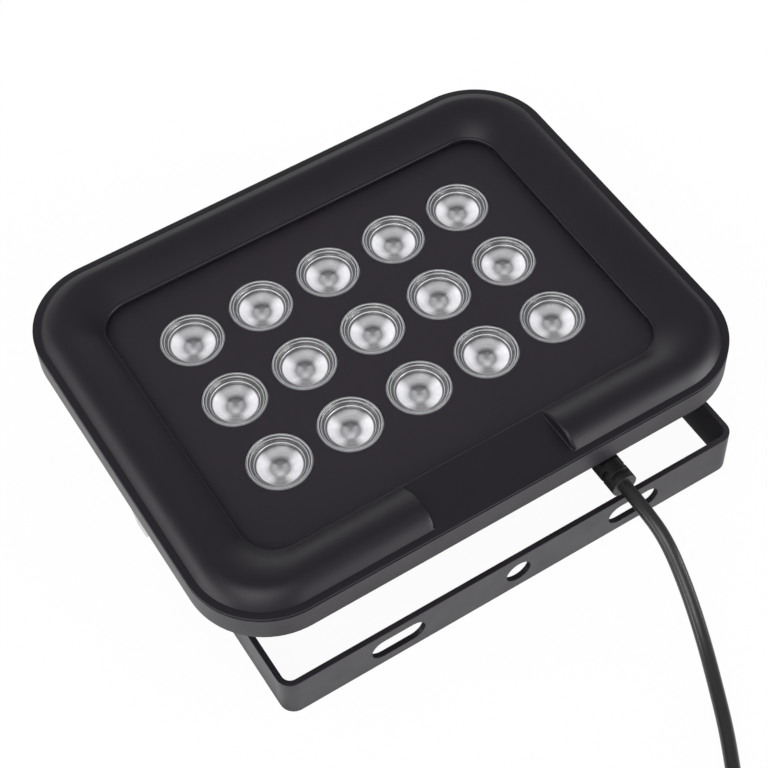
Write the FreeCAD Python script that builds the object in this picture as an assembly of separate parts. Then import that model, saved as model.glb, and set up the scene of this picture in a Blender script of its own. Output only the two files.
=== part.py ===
import FreeCAD, Part
import math
import os

# Infrared illuminator lying on its back, in millimetres.
# X runs along the long side, Y up the short side, Z out of the face.
# The origin is the centre of the rear face, where the middle fin ends.

# Emitter grid and the window around it
columns = 5
rows = 3
column_pitch = 24.0
row_pitch = 26.35
window_margin_side = 21.9
window_margin_top = 21.5
window_margin_bottom = 28.0
window_corner_radius = 10.5

# Lamp head, seen from the front: the bezel goes all round the window
bezel_width_side = 20.6
bezel_width_end = 19.9
head_corner_radius = 25.0
side_wall_height = 9.0
bezel_edge = 1.0
seam_rebate = 0.35
seam_rebate_width = 1.3

# Cushion of the bezel, between its two flat lips
outer_lip_width = 2.3
inner_lip_width = 2.5
cushion_rise = 4.7
outer_flank_width = 6.3
crest_corner_radius = 18.0
bezel_wall = 2.2
notch_length = 46.8
notch_corner_radius = 1.8

# Depths, from the rear face forward
fin_depth = 13.0
floor_thickness = 3.0
driver_bay_depth = 10.0
board_thickness = 1.6
lens_depth = 12.4
lens_recess = 2.0
panel_thickness = 3.0
gasket_thickness = 1.2
lip_step = 1.6

# Housing
slab_floor_thickness = 2.5
slab_wall = 2.5
body_wall = 3.5
panel_overlap = 5.0
ledge_width = 4.0
rabbet_wall = 2.5
fin_thickness = 2.4
fin_gap = 5.6
fin_gaps_per_side = 9
pivot_block_half_height = 11.0
pivot_block_depth = 17.0
pivot_boss_radius = 8.5
pivot_boss_height = 2.5

# Emitter board and what carries it
board_margin_x = 18.0
board_margin_y = 16.6
board_corner_radius = 4.0
board_screw_margin = 8.8
rail_width = 9.0
rail_margin = 1.5
rib_width = 7.0
rib_to_driver_gap = 2.75

# Lens, a clear solid of revolution
lens_radius = 9.85
lens_flange_gap = 1.0
lens_flange_thickness = 1.6
lens_foot_radius = 5.4
lens_cone_radius = 9.3
lens_rim_width = 0.6
lens_step_depth = 0.9
lens_dish_radius = 7.5
lens_dish_depth = 2.6
lens_bump_radius = 3.1
lens_bump_rise = 0.8
lens_pocket_radius = 4.0
lens_pocket_depth = 4.6

# Emitter package
emitter_side = 5.0
emitter_base = 1.2
emitter_dome_radius = 1.8
emitter_dome_height = 1.4

# Driver board and what is on it
driver_length = 78.0
driver_width = 36.0
driver_corner_radius = 1.0
driver_centre_x = -4.0
driver_to_wall = 10.1
driver_hole_inset = 4.0
standoff_height = 3.0
standoff_radius = 3.2
inductor_offset = 20.0
inductor_radius = 6.0
inductor_height = 4.6
inductor_flange = 0.9
inductor_waist = 5.0
capacitor_offset_x = 13.0
capacitor_offset_y = 3.6
capacitor_radius = 4.0
capacitor_height = 5.0
chip_length = 6.0
chip_width = 5.0
chip_height = 1.6
wire_radius = 0.75
wire_pair_gap = 2.4
wire_pad_gap = 5.0
wire_lead = 7.0
wire_arch = 3.4
wire_hole_radius = 1.3

# Screws
screw_radius = 1.5
screw_head_radius = 2.75
screw_head_height = 2.0
screw_boss_radius = 3.25
bezel_screw_length = 9.0
board_screw_length = 6.0
driver_screw_radius = 1.25
driver_screw_head_radius = 2.3
driver_screw_length = 4.0
recess_length = 3.0
recess_width = 0.8
recess_depth = 1.0
side_screw_offset = 30.0
long_side_screw_offset = 48.0

# Bracket and its pivots
bracket_thickness = 1.8
bracket_width = 16.0
bracket_base_gap = 5.7
bracket_bend_radius = 4.6
bracket_floor_gap = 1.0
slot_length = 18.2
slot_width = 8.5
slot_spacing = 83.6
centre_hole_radius = 4.25
bolt_radius = 3.0
bolt_depth = 12.0
bolt_head_across_flats = 10.0
bolt_head_height = 4.0
flat_washer_radius = 6.0
flat_washer_thickness = 1.2
spring_washer_radius = 5.0
spring_washer_thickness = 1.6
spring_washer_cut = 1.0
friction_washer_radius = 8.0
friction_washer_thickness = 0.8

# Strain relief
relief_x = 37.3
relief_z = 24.0
relief_radius = 4.2
relief_length = 21.0
relief_flange_radius = 6.0
relief_flange_thickness = 2.0
relief_end_land = 1.9
relief_slot = 1.3
relief_slot_pitch = 2.9
relief_slot_depth = 1.4
relief_slots = 6

# Cable
cable_radius = 2.2
cable_lift = 0.05
coil_mid_radius = 25.0
coil_turns_across = 4
coil_layers = 2
coil_exit_angle = -75.0
coil_bevel = 1.1

# Barrel plug
plug_neck_radius = 3.0
plug_neck_length = 10.0
plug_grip_radius = 5.1
plug_grip_length = 17.0
plug_chamfer = 0.6
barrel_radius = 2.75
barrel_length = 9.5
barrel_wall = 0.4
insulator_wall = 0.7
contact_bore_radius = 1.05

# Clearances
fit_gap = 0.3
running_gap = 0.05
part_gap = 0.03
overrun = 5.0

# Levels along Z
floor_top = fin_depth + floor_thickness
board_seat = floor_top + driver_bay_depth
board_top = board_seat + board_thickness
panel_face = board_top + lens_depth + lens_recess
panel_back = panel_face - panel_thickness
shelf = panel_back - gasket_thickness
lip = panel_face + lip_step
seam = lip - bezel_edge
slab_back = seam - side_wall_height
slab_floor_top = slab_back + slab_floor_thickness

# Outlines in plan, as half lengths, half heights and corner radii
grid_half_x = (columns - 1) / 2 * column_pitch
grid_half_y = (rows - 1) / 2 * row_pitch
grid_shift = (window_margin_bottom - window_margin_top) / 2
window_half_x = grid_half_x + window_margin_side
window_half_y = grid_half_y + (window_margin_bottom + window_margin_top) / 2
window = (window_half_x, window_half_y, window_corner_radius)
head = (window_half_x + bezel_width_side, window_half_y + bezel_width_end, head_corner_radius)


def grown(outline, by):
    """The same rounded outline, moved out by a distance."""
    return tuple(size + by for size in outline)


panel = grown(window, panel_overlap)
rabbet = grown(panel, fit_gap)
rabbet_outer = grown(rabbet, rabbet_wall)
cavity = grown(panel, -ledge_width)
body = grown(cavity, body_wall)
slab_inner = grown(head, -slab_wall)
outer_foot = grown(head, -outer_lip_width)
inner_foot = grown(window, inner_lip_width)
crest = (outer_foot[0] - outer_flank_width, outer_foot[1] - outer_flank_width, crest_corner_radius)

# Places that several pieces share
bracket_reach = head[1] + bracket_base_gap
pivot_z = bracket_floor_gap + bracket_width / 2
boss_face = body[0] + pivot_boss_height
arm_inner = boss_face + friction_washer_thickness
arm_outer = arm_inner + bracket_thickness
channel_x = (rabbet_outer[0] + slab_inner[0]) / 2
channel_y = (rabbet_outer[1] + slab_inner[1]) / 2
bezel_screw_places = [
    (side * channel_x, end * side_screw_offset) for side in (-1, 1) for end in (-1, 1)
] + [
    (end * long_side_screw_offset, side * channel_y) for side in (-1, 1) for end in (-1, 1)
]
lens_flange_radius = (min(column_pitch, row_pitch) - lens_flange_gap) / 2
board_half_x = grid_half_x + board_margin_x
board_half_y = grid_half_y + board_margin_y
rail_x = board_half_x - rail_margin - rail_width / 2
board_screw_places = [
    (side * rail_x, grid_shift + row * (grid_half_y + board_screw_margin))
    for side in (-1, 1) for row in (-1, 0, 1)
]
driver_back = floor_top + standoff_height
driver_top = driver_back + board_thickness
driver_centre_y = driver_to_wall + driver_width / 2 - cavity[1]
rib_lower_end = driver_centre_y + driver_width / 2 + rib_to_driver_gap
driver_hole_x = driver_length / 2 - driver_hole_inset
driver_hole_y = driver_width / 2 - driver_hole_inset
driver_screw_places = [
    (driver_centre_x + side * driver_hole_x, driver_centre_y + end * driver_hole_y)
    for side in (-1, 1) for end in (-1, 1)
]
emitter_wire_y = grid_shift - row_pitch / 2
emitter_wire_x = -column_pitch / 2
relief_start = -cavity[1]
relief_end = -body[1] - relief_length
cable_axis_z = cable_radius + cable_lift

# The cable's route, in steps from the strain relief's end: over the bracket's base,
# down to the surface and along it with a slow bend to the coil
cable_steps = [
    (0.0, 0.0, relief_z),
    (0.0, -9.4, relief_z),
    (0.6, -19.9, 20.9),
    (-0.5, -32.4, 12.2),
    (-3.8, -45.4, 5.7),
    (-9.1, -58.9, 2.75),
    (-16.3, -74.4, cable_axis_z),
    (-28.2, -94.4, cable_axis_z),
    (-38.9, -109.0, cable_axis_z),
    (-50.2, -122.8, cable_axis_z),
]
cable_route = [(relief_x + x, relief_end + y, z) for x, y, z in cable_steps]

# The tail's route, in steps from the coil's middle: off the top layer, down to
# the surface and up to the plug's middle
plug_axis_z = plug_grip_radius + cable_lift
tail_steps = [
    (-5.8, -32.6, 5.2),
    (-20.8, -38.2, 2.5),
    (-36.8, -42.4, 2.4),
    (-51.8, -44.0, plug_axis_z),
    (-64.8, -44.0, plug_axis_z),
]

# Levels of the parts stacked on each pivot, and the plug's nested sleeves
flat_washer_start = arm_outer
spring_washer_start = flat_washer_start + flat_washer_thickness
bolt_head_start = spring_washer_start + spring_washer_thickness
insulator_outer = barrel_radius - barrel_wall - part_gap
contact_outer = insulator_outer - insulator_wall - part_gap


def point(x, y, z):
    return FreeCAD.Vector(x, y, z)


along_x = point(1, 0, 0)
along_y = point(0, 1, 0)
along_z = point(0, 0, 1)


def outline_wire(outline, z):
    """A rectangle with round corners, counter-clockwise, starting on its right side."""
    half_x, half_y, radius = outline
    straight_x = half_x - radius
    straight_y = half_y - radius
    diagonal = radius * math.sqrt(0.5)
    edges = []
    corners = [(1, 1), (-1, 1), (-1, -1), (1, -1)]
    for index, (sx, sy) in enumerate(corners):
        across = point(sx * half_x, sy * straight_y, z)
        middle = point(sx * (straight_x + diagonal), sy * (straight_y + diagonal), z)
        above = point(sx * straight_x, sy * half_y, z)
        start, end = (across, above) if sx == sy else (above, across)
        edges.append(Part.Arc(start, middle, end).toShape())
        next_x, next_y = corners[(index + 1) % 4]
        if next_y == sy:
            joined = point(next_x * straight_x, sy * half_y, z)
        else:
            joined = point(sx * half_x, next_y * straight_y, z)
        edges.append(Part.LineSegment(end, joined).toShape())
    return Part.Wire(edges)


def plate(outline, low, high):
    """A flat slab with round corners between two levels."""
    face = Part.Face(outline_wire(outline, low))
    return face.extrude(point(0, 0, high - low))


def block(low, high):
    """A box between two opposite corners."""
    size = [high[axis] - low[axis] for axis in range(3)]
    return Part.makeBox(size[0], size[1], size[2], point(*low))


def post(x, y, low, high, radius):
    """An upright cylinder."""
    return Part.makeCylinder(radius, high - low, point(x, y, low), along_z)


def turned(profile, origin, axis, out):
    """A solid of revolution: profile holds (distance along the axis, radius) pairs."""
    corners = [origin + axis * along + out * radius for along, radius in profile]
    corners.append(corners[0])
    face = Part.Face(Part.makePolygon(corners))
    return face.revolve(origin, axis, 360)


def mirrored_pair(shape):
    """The shape and its mirror image across the middle plane."""
    return Part.makeCompound([shape, shape.mirror(point(0, 0, 0), along_x)])


def tube(route, radius, name):
    """A round bar along straight runs joined by tangent arcs."""
    corners = [point(*place) for place in route]
    edges = []
    start = corners[0]
    radii = []
    for before, corner, after in zip(corners, corners[1:], corners[2:]):
        back = before - corner
        ahead = after - corner
        shorter = min(back.Length, ahead.Length)
        turn = math.pi - back.getAngle(ahead)
        setback = 0.45 * shorter
        bend = setback / math.tan(turn / 2)
        radii.append(bend)
        back.normalize()
        ahead.normalize()
        first = corner + back * setback
        last = corner + ahead * setback
        inward = back + ahead
        inward.normalize()
        middle = corner + inward * (bend / math.cos(turn / 2) - bend)
        edges.append(Part.LineSegment(start, first).toShape())
        edges.append(Part.Arc(first, middle, last).toShape())
        start = last
    edges.append(Part.LineSegment(start, corners[-1]).toShape())
    path = Part.Wire(edges)
    heading = corners[1] - corners[0]
    section = Part.Face(Part.Wire(Part.Circle(corners[0], heading, radius).toShape()))
    bar = path.makePipe(section)
    ratio = bar.Volume / (section.Area * path.Length)
    print(name, "length", round(path.Length, 1), "volume ratio", round(ratio, 4))
    print(name, "bend radii", [round(bend, 1) for bend in radii])
    return bar


def cushion(inset):
    """The bezel's raised ring, lofted over its crest from the outer to the inner foot.

    With an inset it is the hollow under the cushion: both feet move in and the
    crest moves down by that much.
    """
    outer = grown(outer_foot, -inset)
    inner = grown(inner_foot, inset)
    rise = cushion_rise - inset
    sections = []
    for foot, steps in ((outer, (0.0, 0.3, 0.6, 0.82, 1.0)), (inner, (0.82, 0.6, 0.3, 0.0))):
        width = abs(foot[0] - crest[0])
        arc_radius = (width ** 2 + rise ** 2) / (2 * rise)
        foot_angle = math.asin(min(1.0, width / arc_radius))
        for step in steps:
            angle = foot_angle * (1 - step)
            share = 1 - math.sin(angle) / math.sin(foot_angle)
            height = arc_radius * (math.cos(angle) - math.cos(foot_angle))
            curve = tuple(a + (b - a) * share for a, b in zip(foot, crest))
            sections.append(outline_wire(curve, lip + height))
    skin = Part.makeLoft(sections, False, False)
    under = Part.Face([sections[0], sections[-1]])
    shell = Part.Shell(skin.Faces + [under])
    shell.sewShape()
    solid = Part.Solid(shell)
    solid.fix(0.01, 0.01, 0.01)
    return solid


def notch_cutter(side_gap, floor_level):
    """The room that the drain notch takes out of the cushion's lower side."""
    half = notch_length / 2 + side_gap
    top = lip + cushion_rise + overrun
    outside = -head[1] - overrun
    cutter = block(point(-half, outside, floor_level), point(half, overrun - window[1], top))
    rounding = notch_corner_radius
    corner_y = rounding - outer_foot[1]
    for side in (-1, 1):
        xs = sorted((side * half, side * (half + rounding)))
        corner = block(point(xs[0], outside, floor_level), point(xs[1], corner_y, top))
        corner = corner.cut(post(side * (half + rounding), corner_y, floor_level, top, rounding))
        cutter = cutter.fuse(corner)
    return cutter


def front_bezel():
    """Hollow cushion frame with flat lips, a drain notch and eight screw bosses."""
    frame = plate(head, seam, lip).fuse(plate(rabbet_outer, panel_face, seam))
    frame = frame.cut(plate(window, panel_face - overrun, lip + overrun))
    raised = cushion(0.0).cut(notch_cutter(0.0, lip))
    frame = frame.fuse(raised)
    hollow_outer = grown(outer_foot, -bezel_wall)
    under = plate(hollow_outer, panel_face - overrun, lip)
    under = under.cut(plate(rabbet_outer, panel_face - overrun, lip))
    hollow = cushion(bezel_wall).fuse(under)
    hollow = hollow.cut(notch_cutter(bezel_wall, panel_face - overrun))
    frame = frame.cut(hollow)
    envelope = plate(head, slab_floor_top, lip).fuse(raised)
    for x, y in bezel_screw_places:
        boss = post(x, y, slab_floor_top, lip + cushion_rise, screw_boss_radius)
        frame = frame.fuse(boss.common(envelope))
    hole_top = slab_back + bezel_screw_length + fit_gap
    for x, y in bezel_screw_places:
        hole = post(x, y, slab_floor_top - overrun, hole_top, screw_radius + running_gap)
        frame = frame.cut(hole)
    return frame.removeSplitter()


def lens_places():
    places = []
    for row in range(rows):
        for column in range(columns):
            x = column * column_pitch - grid_half_x
            y = grid_shift + grid_half_y - row * row_pitch
            places.append((x, y))
    return places


def window_panel():
    """Flat plate under the bezel's inner lip, with a hole for each lens."""
    sheet = plate(panel, panel_back, panel_face)
    for x, y in lens_places():
        hole = post(x, y, panel_back - overrun, panel_face + overrun, lens_radius + fit_gap)
        sheet = sheet.cut(hole)
    return sheet


def window_gasket():
    """Flat ring that the panel presses on the housing's shelf."""
    return plate(panel, shelf, panel_back).cut(plate(grown(cavity, fit_gap), shelf, panel_back))


def lens(x, y):
    """Clear collimator: a flared cone with a flange, a dished front and a pocket below."""
    top = lens_depth
    flange_top = panel_back - board_top
    flange_bottom = flange_top - lens_flange_thickness
    step = top - lens_step_depth
    dish_floor = step - lens_dish_depth
    origin = point(x, y, board_top)
    profile = [
        (0, lens_pocket_radius), (0, lens_foot_radius), (flange_bottom, lens_cone_radius),
        (flange_bottom, lens_flange_radius), (flange_top, lens_flange_radius),
        (flange_top, lens_radius), (top, lens_radius), (top, lens_radius - lens_rim_width),
        (step, lens_dish_radius),
    ]
    edges = [
        Part.LineSegment(place(origin, a), place(origin, b)).toShape()
        for a, b in zip(profile, profile[1:])
    ]
    bump_top = dish_floor + lens_bump_rise
    edges.append(sphere_arc(origin, (step, lens_dish_radius), (dish_floor, lens_bump_radius)))
    edges.append(sphere_arc(origin, (dish_floor, lens_bump_radius), (bump_top, 0)))
    pocket_top = (lens_pocket_depth, lens_pocket_radius)
    inside = [(bump_top, 0), (lens_pocket_depth, 0), pocket_top, profile[0]]
    edges += [
        Part.LineSegment(place(origin, a), place(origin, b)).toShape()
        for a, b in zip(inside, inside[1:])
    ]
    face = Part.Face(Part.Wire(edges))
    return face.revolve(origin, along_z, 360)


def place(origin, profile_point):
    """A profile point (height, radius) in the plane that is turned about the lens's axis."""
    return origin + along_z * profile_point[0] + along_x * profile_point[1]


def sphere_arc(origin, start, end):
    """The profile of a sphere about the lens's axis, between two (height, radius) rings."""
    centre = end[0] ** 2 + end[1] ** 2 - start[0] ** 2 - start[1] ** 2
    centre /= 2 * (end[0] - start[0])
    radius = math.hypot(start[0] - centre, start[1])
    middle_radius = (start[1] + end[1]) / 2
    side = 1 if start[0] > centre else -1
    middle = (centre + side * math.sqrt(radius ** 2 - middle_radius ** 2), middle_radius)
    return Part.Arc(place(origin, start), place(origin, middle), place(origin, end)).toShape()


def emitter(x, y):
    """Surface-mount package with a small round lens on top."""
    half = emitter_side / 2
    dome_low = board_top + emitter_base
    base = block(point(x - half, y - half, board_top), point(x + half, y + half, dome_low))
    return base.fuse(post(x, y, dome_low, dome_low + emitter_dome_height, emitter_dome_radius))


def emitter_board():
    """Aluminium board on the housing's rails and ribs."""
    outline = (board_half_x, board_half_y, board_corner_radius)
    board = plate(outline, board_seat, board_top)
    board.translate(point(0, grid_shift, 0))
    for x, y in board_screw_places:
        hole = post(x, y, board_seat - overrun, board_top + overrun, screw_radius + fit_gap)
        board = board.cut(hole)
    for side in (-1, 1):
        x = emitter_wire_x + side * wire_pair_gap
        hole = post(x, emitter_wire_y, board_seat - overrun, board_top + overrun, wire_hole_radius)
        board = board.cut(hole)
    return board


def fin_cutters():
    """The gaps between the fins. The outer ones stop at the blocks that hold the pivots."""
    cutters = []
    pitch = fin_thickness + fin_gap
    block_start = body[0] - pivot_block_depth
    for index in range(fin_gaps_per_side):
        low_x = fin_thickness / 2 + index * pitch
        high_x = low_x + fin_gap
        inner_y = pivot_block_half_height if high_x > block_start else -overrun
        for side_x in (-1, 1):
            for side_y in (-1, 1):
                xs = sorted((side_x * low_x, side_x * high_x))
                ys = sorted((side_y * inner_y, side_y * (body[1] + overrun)))
                cutters.append(block(point(xs[0], ys[0], -overrun), point(xs[1], ys[1], fin_depth)))
    return cutters


def board_supports():
    """Rails along both sides and a rib behind each column, cast on the cavity's floor."""
    supports = []
    low_y = grid_shift - board_half_y + rail_margin
    high_y = grid_shift + board_half_y - rail_margin
    for side in (-1, 1):
        middle = side * rail_x
        low = point(middle - rail_width / 2, low_y, floor_top - floor_thickness / 2)
        supports.append(block(low, point(middle + rail_width / 2, high_y, board_seat)))
    for column in range(columns):
        middle = column * column_pitch - grid_half_x
        low = point(middle - rib_width / 2, rib_lower_end, floor_top - floor_thickness / 2)
        supports.append(block(low, point(middle + rib_width / 2, high_y, board_seat)))
    return supports


def rear_housing():
    """Cast housing: a shallow slab behind the bezel and a finned body behind the window."""
    slab = plate(head, slab_back, seam)
    slab = slab.cut(plate(slab_inner, slab_floor_top, seam + overrun))
    rebate = plate(grown(head, overrun), seam - seam_rebate, seam + overrun)
    rebate_inner = grown(head, -seam_rebate_width)
    rebate = rebate.cut(plate(rebate_inner, seam - seam_rebate, seam + overrun))
    slab = slab.cut(rebate)
    casting = slab.fuse(plate(rabbet_outer, slab_back, panel_face))
    casting = casting.fuse(plate(body, 0, shelf))
    casting = casting.cut(plate(rabbet, shelf, seam + overrun))
    casting = casting.cut(plate(cavity, floor_top, seam + overrun))
    for cutter in fin_cutters():
        casting = casting.cut(cutter)
    for support in board_supports():
        casting = casting.fuse(support)
    standoff_root = floor_top - floor_thickness / 2
    for x, y in driver_screw_places:
        casting = casting.fuse(post(x, y, standoff_root, driver_back, standoff_radius))
    boss_length = pivot_boss_height + overrun
    hole_depth = bolt_depth + fit_gap
    for side in (-1, 1):
        root = point(side * (body[0] - overrun), 0, pivot_z)
        boss = Part.makeCylinder(pivot_boss_radius, boss_length, root, along_x * side)
        casting = casting.fuse(boss)
    for side in (-1, 1):
        mouth = point(side * boss_face, 0, pivot_z)
        hole = Part.makeCylinder(bolt_radius + part_gap, hole_depth, mouth, along_x * -side)
        casting = casting.cut(hole)
    for x, y in bezel_screw_places:
        hole = post(x, y, slab_back - overrun, slab_floor_top + overrun, screw_radius + fit_gap)
        casting = casting.cut(hole)
    for x, y in board_screw_places:
        hole_low = board_top - board_screw_length - fit_gap
        hole = post(x, y, hole_low, board_seat + overrun, screw_radius + running_gap)
        casting = casting.cut(hole)
    for x, y in driver_screw_places:
        hole_low = driver_top - driver_screw_length - fit_gap
        hole = post(x, y, hole_low, driver_back + overrun, driver_screw_radius + running_gap)
        casting = casting.cut(hole)
    cable_hole = Part.makeCylinder(
        relief_radius + part_gap, body_wall + 2 * overrun,
        point(relief_x, relief_start + overrun, relief_z), along_y * -1)
    return casting.cut(cable_hole).removeSplitter()


def cross_recess(x, y, mouth, inward):
    """Two crossed slots in a screw's head."""
    cutters = []
    low, high = sorted((mouth - inward * overrun, mouth + inward * recess_depth))
    for half_x, half_y in ((recess_length / 2, recess_width / 2), (recess_width / 2, recess_length / 2)):
        cutters.append(block(point(x - half_x, y - half_y, low), point(x + half_x, y + half_y, high)))
    return cutters[0].fuse(cutters[1])


def screw(x, y, seat, upward, length, shank_radius, head_radius):
    """A pan-head screw whose head sits on a level and whose shank points the other way."""
    head_far = seat + upward * screw_head_height
    tip = seat - upward * length
    head_low, head_high = sorted((seat, head_far))
    shank_low, shank_high = sorted((seat, tip))
    solid = post(x, y, head_low, head_high, head_radius)
    solid = solid.fuse(post(x, y, shank_low, shank_high, shank_radius))
    return solid.cut(cross_recess(x, y, head_far, -upward))


def screws(places, seat, upward, length, shank_radius, head_radius):
    return Part.makeCompound([
        screw(x, y, seat, upward, length, shank_radius, head_radius) for x, y in places
    ])


def driver_board():
    outline = (driver_length / 2, driver_width / 2, driver_corner_radius)
    board = plate(outline, driver_back, driver_top)
    board.translate(point(driver_centre_x, driver_centre_y, 0))
    hole_radius = driver_screw_radius + fit_gap
    for x, y in driver_screw_places:
        board = board.cut(post(x, y, driver_back - overrun, driver_top + overrun, hole_radius))
    return board


def driver_inductor():
    """A drum: two flanges and a narrower winding."""
    upper = inductor_height - inductor_flange
    return turned([
        (0, 0), (0, inductor_radius), (inductor_flange, inductor_radius),
        (inductor_flange, inductor_waist), (upper, inductor_waist), (upper, inductor_radius),
        (inductor_height, inductor_radius), (inductor_height, 0),
    ], point(driver_centre_x - inductor_offset, driver_centre_y, driver_top), along_z, along_x)


def driver_capacitor():
    x = driver_centre_x + capacitor_offset_x
    y = driver_centre_y - capacitor_offset_y
    return post(x, y, driver_top, driver_top + capacitor_height, capacitor_radius)


def driver_chip():
    low = point(driver_centre_x - chip_length / 2, driver_centre_y - chip_width / 2, driver_top)
    return block(low, low + point(chip_length, chip_width, chip_height))


def supply_wire(side, name):
    """From the strain relief's inner end down to a pad on the driver board."""
    start_x = relief_x + side * wire_pair_gap / 2
    start_y = relief_start + relief_flange_thickness
    pad_x = driver_centre_x + driver_length / 2 - wire_pad_gap + side * wire_pad_gap / 2
    pad_y = driver_centre_y - wire_pad_gap / 2
    above = driver_top + wire_arch
    return tube([
        (start_x, start_y, relief_z),
        (start_x, start_y + wire_lead, relief_z),
        (pad_x, pad_y - wire_lead, above),
        (pad_x, pad_y, above),
        (pad_x, pad_y, driver_top),
    ], wire_radius, name)


def emitter_wire(side, name):
    """Up from the driver board through the emitter board, then over to a pad on it."""
    x = emitter_wire_x + side * wire_pair_gap
    pad_x = x + side * wire_pad_gap
    above = board_top + wire_arch
    return tube([
        (x, emitter_wire_y, driver_top),
        (x, emitter_wire_y, above),
        (pad_x, emitter_wire_y, above),
        (pad_x, emitter_wire_y, board_top),
    ], wire_radius, name)


def strain_relief():
    """Moulded boot held in the wall by two flanges, with slots cut from alternate sides."""
    outward = along_y * -1
    inner = relief_start + relief_flange_thickness
    start = point(relief_x, inner, relief_z)
    boot = Part.makeCylinder(relief_radius, inner - relief_end, start, outward)
    for flange_y in (inner, -body[1]):
        start = point(relief_x, flange_y, relief_z)
        flange = Part.makeCylinder(relief_flange_radius, relief_flange_thickness, start, outward)
        boot = boot.fuse(flange)
    slot_offset = relief_radius - relief_slot_depth
    for index in range(relief_slots):
        y = relief_end + relief_end_land + index * relief_slot_pitch
        for side in (-1, 1):
            reach = side * (slot_offset + overrun)
            if index % 2:
                xs = sorted((relief_x + side * slot_offset, relief_x + reach))
                zs = (relief_z - overrun, relief_z + overrun)
            else:
                xs = (relief_x - overrun, relief_x + overrun)
                zs = sorted((relief_z + side * slot_offset, relief_z + reach))
            boot = boot.cut(block(point(xs[0], y, zs[0]), point(xs[1], y + relief_slot, zs[1])))
    return boot


def u_profile(half, reach, radius, open_end):
    """Plan outline of the bracket: two arms joined by a base with round bends."""
    turn = radius * (1 - math.sqrt(0.5))
    left_top = point(-half, open_end, 0)
    left_low = point(-half, radius - reach, 0)
    base_left = point(radius - half, -reach, 0)
    base_right = point(half - radius, -reach, 0)
    right_low = point(half, radius - reach, 0)
    right_top = point(half, open_end, 0)
    edges = [
        Part.LineSegment(left_top, left_low),
        Part.Arc(left_low, point(turn - half, turn - reach, 0), base_left),
        Part.LineSegment(base_left, base_right),
        Part.Arc(base_right, point(half - turn, turn - reach, 0), right_low),
        Part.LineSegment(right_low, right_top),
        Part.LineSegment(right_top, left_top),
    ]
    return Part.Face(Part.Wire([edge.toShape() for edge in edges]))


def bracket():
    """Bent strip with round arm ends, two slots and a middle hole in its base."""
    low = bracket_floor_gap
    inner_bend = bracket_bend_radius - bracket_thickness
    strip = u_profile(arm_outer, bracket_reach, bracket_bend_radius, 0).extrude(point(0, 0, bracket_width))
    room = u_profile(arm_inner, bracket_reach - bracket_thickness, inner_bend, overrun)
    strip = strip.cut(room.extrude(point(0, 0, bracket_width)))
    strip.translate(point(0, 0, low))
    for side in (-1, 1):
        start = point(side * arm_inner, 0, pivot_z)
        outward = along_x * side
        strip = strip.fuse(Part.makeCylinder(bracket_width / 2, bracket_thickness, start, outward))
    through = Part.makeCylinder(
        bolt_radius + running_gap, 2 * (arm_outer + overrun),
        point(-arm_outer - overrun, 0, pivot_z), along_x)
    strip = strip.cut(through)
    hole_start = point(0, overrun - bracket_reach, pivot_z)
    hole_depth = 2 * overrun
    strip = strip.cut(Part.makeCylinder(centre_hole_radius, hole_depth, hole_start, along_y * -1))
    straight = (slot_length - slot_width) / 2
    for side in (-1, 1):
        middle = side * slot_spacing / 2
        for end in (-1, 1):
            start = hole_start + point(middle + end * straight, 0, 0)
            strip = strip.cut(Part.makeCylinder(slot_width / 2, hole_depth, start, along_y * -1))
        slot_low = point(middle - straight, -bracket_reach - overrun, pivot_z - slot_width / 2)
        slot_high = point(middle + straight, overrun - bracket_reach, pivot_z + slot_width / 2)
        strip = strip.cut(block(slot_low, slot_high))
    return strip.removeSplitter()


def ring_x(start_x, thickness, outer):
    """A washer about the right pivot bolt."""
    start = point(start_x, 0, pivot_z)
    ring = Part.makeCylinder(outer, thickness, start, along_x)
    return ring.cut(Part.makeCylinder(bolt_radius + fit_gap, thickness, start, along_x))


def pivot_bolts():
    """Hexagon-head bolts that screw into the housing's bosses."""
    corner = bolt_head_across_flats / 2 / math.cos(math.pi / 6)
    corners = []
    for index in range(7):
        angle = math.pi / 3 * index
        rise = corner * math.sin(angle)
        corners.append(point(bolt_head_start, corner * math.cos(angle), pivot_z + rise))
    head_solid = Part.Face(Part.makePolygon(corners)).extrude(along_x * bolt_head_height)
    tip = boss_face - bolt_depth
    shank = Part.makeCylinder(bolt_radius, bolt_head_start - tip, point(tip, 0, pivot_z), along_x)
    return mirrored_pair(head_solid.fuse(shank))


def flat_washers():
    return mirrored_pair(ring_x(flat_washer_start, flat_washer_thickness, flat_washer_radius))


def spring_washers():
    """Split rings under the bolts' heads."""
    ring = ring_x(spring_washer_start, spring_washer_thickness, spring_washer_radius)
    half_cut = spring_washer_cut / 2
    cut_low = point(spring_washer_start - overrun, 0, pivot_z - half_cut)
    cut_high = point(bolt_head_start + overrun, spring_washer_radius + overrun, pivot_z + half_cut)
    return mirrored_pair(ring.cut(block(cut_low, cut_high)))


def friction_washers():
    return mirrored_pair(ring_x(boss_face, friction_washer_thickness, friction_washer_radius))


def coil_centre():
    """The outermost turn runs on from the cable's last run, to its right."""
    outermost = coil_mid_radius + (coil_turns_across - 1) * cable_radius
    heading = point(*cable_route[-1]) - point(*cable_route[-2])
    heading.normalize()
    end = point(*cable_route[-1])
    centre = end + point(heading.y, -heading.x, 0) * outermost
    return point(centre.x, centre.y, 0)


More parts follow.
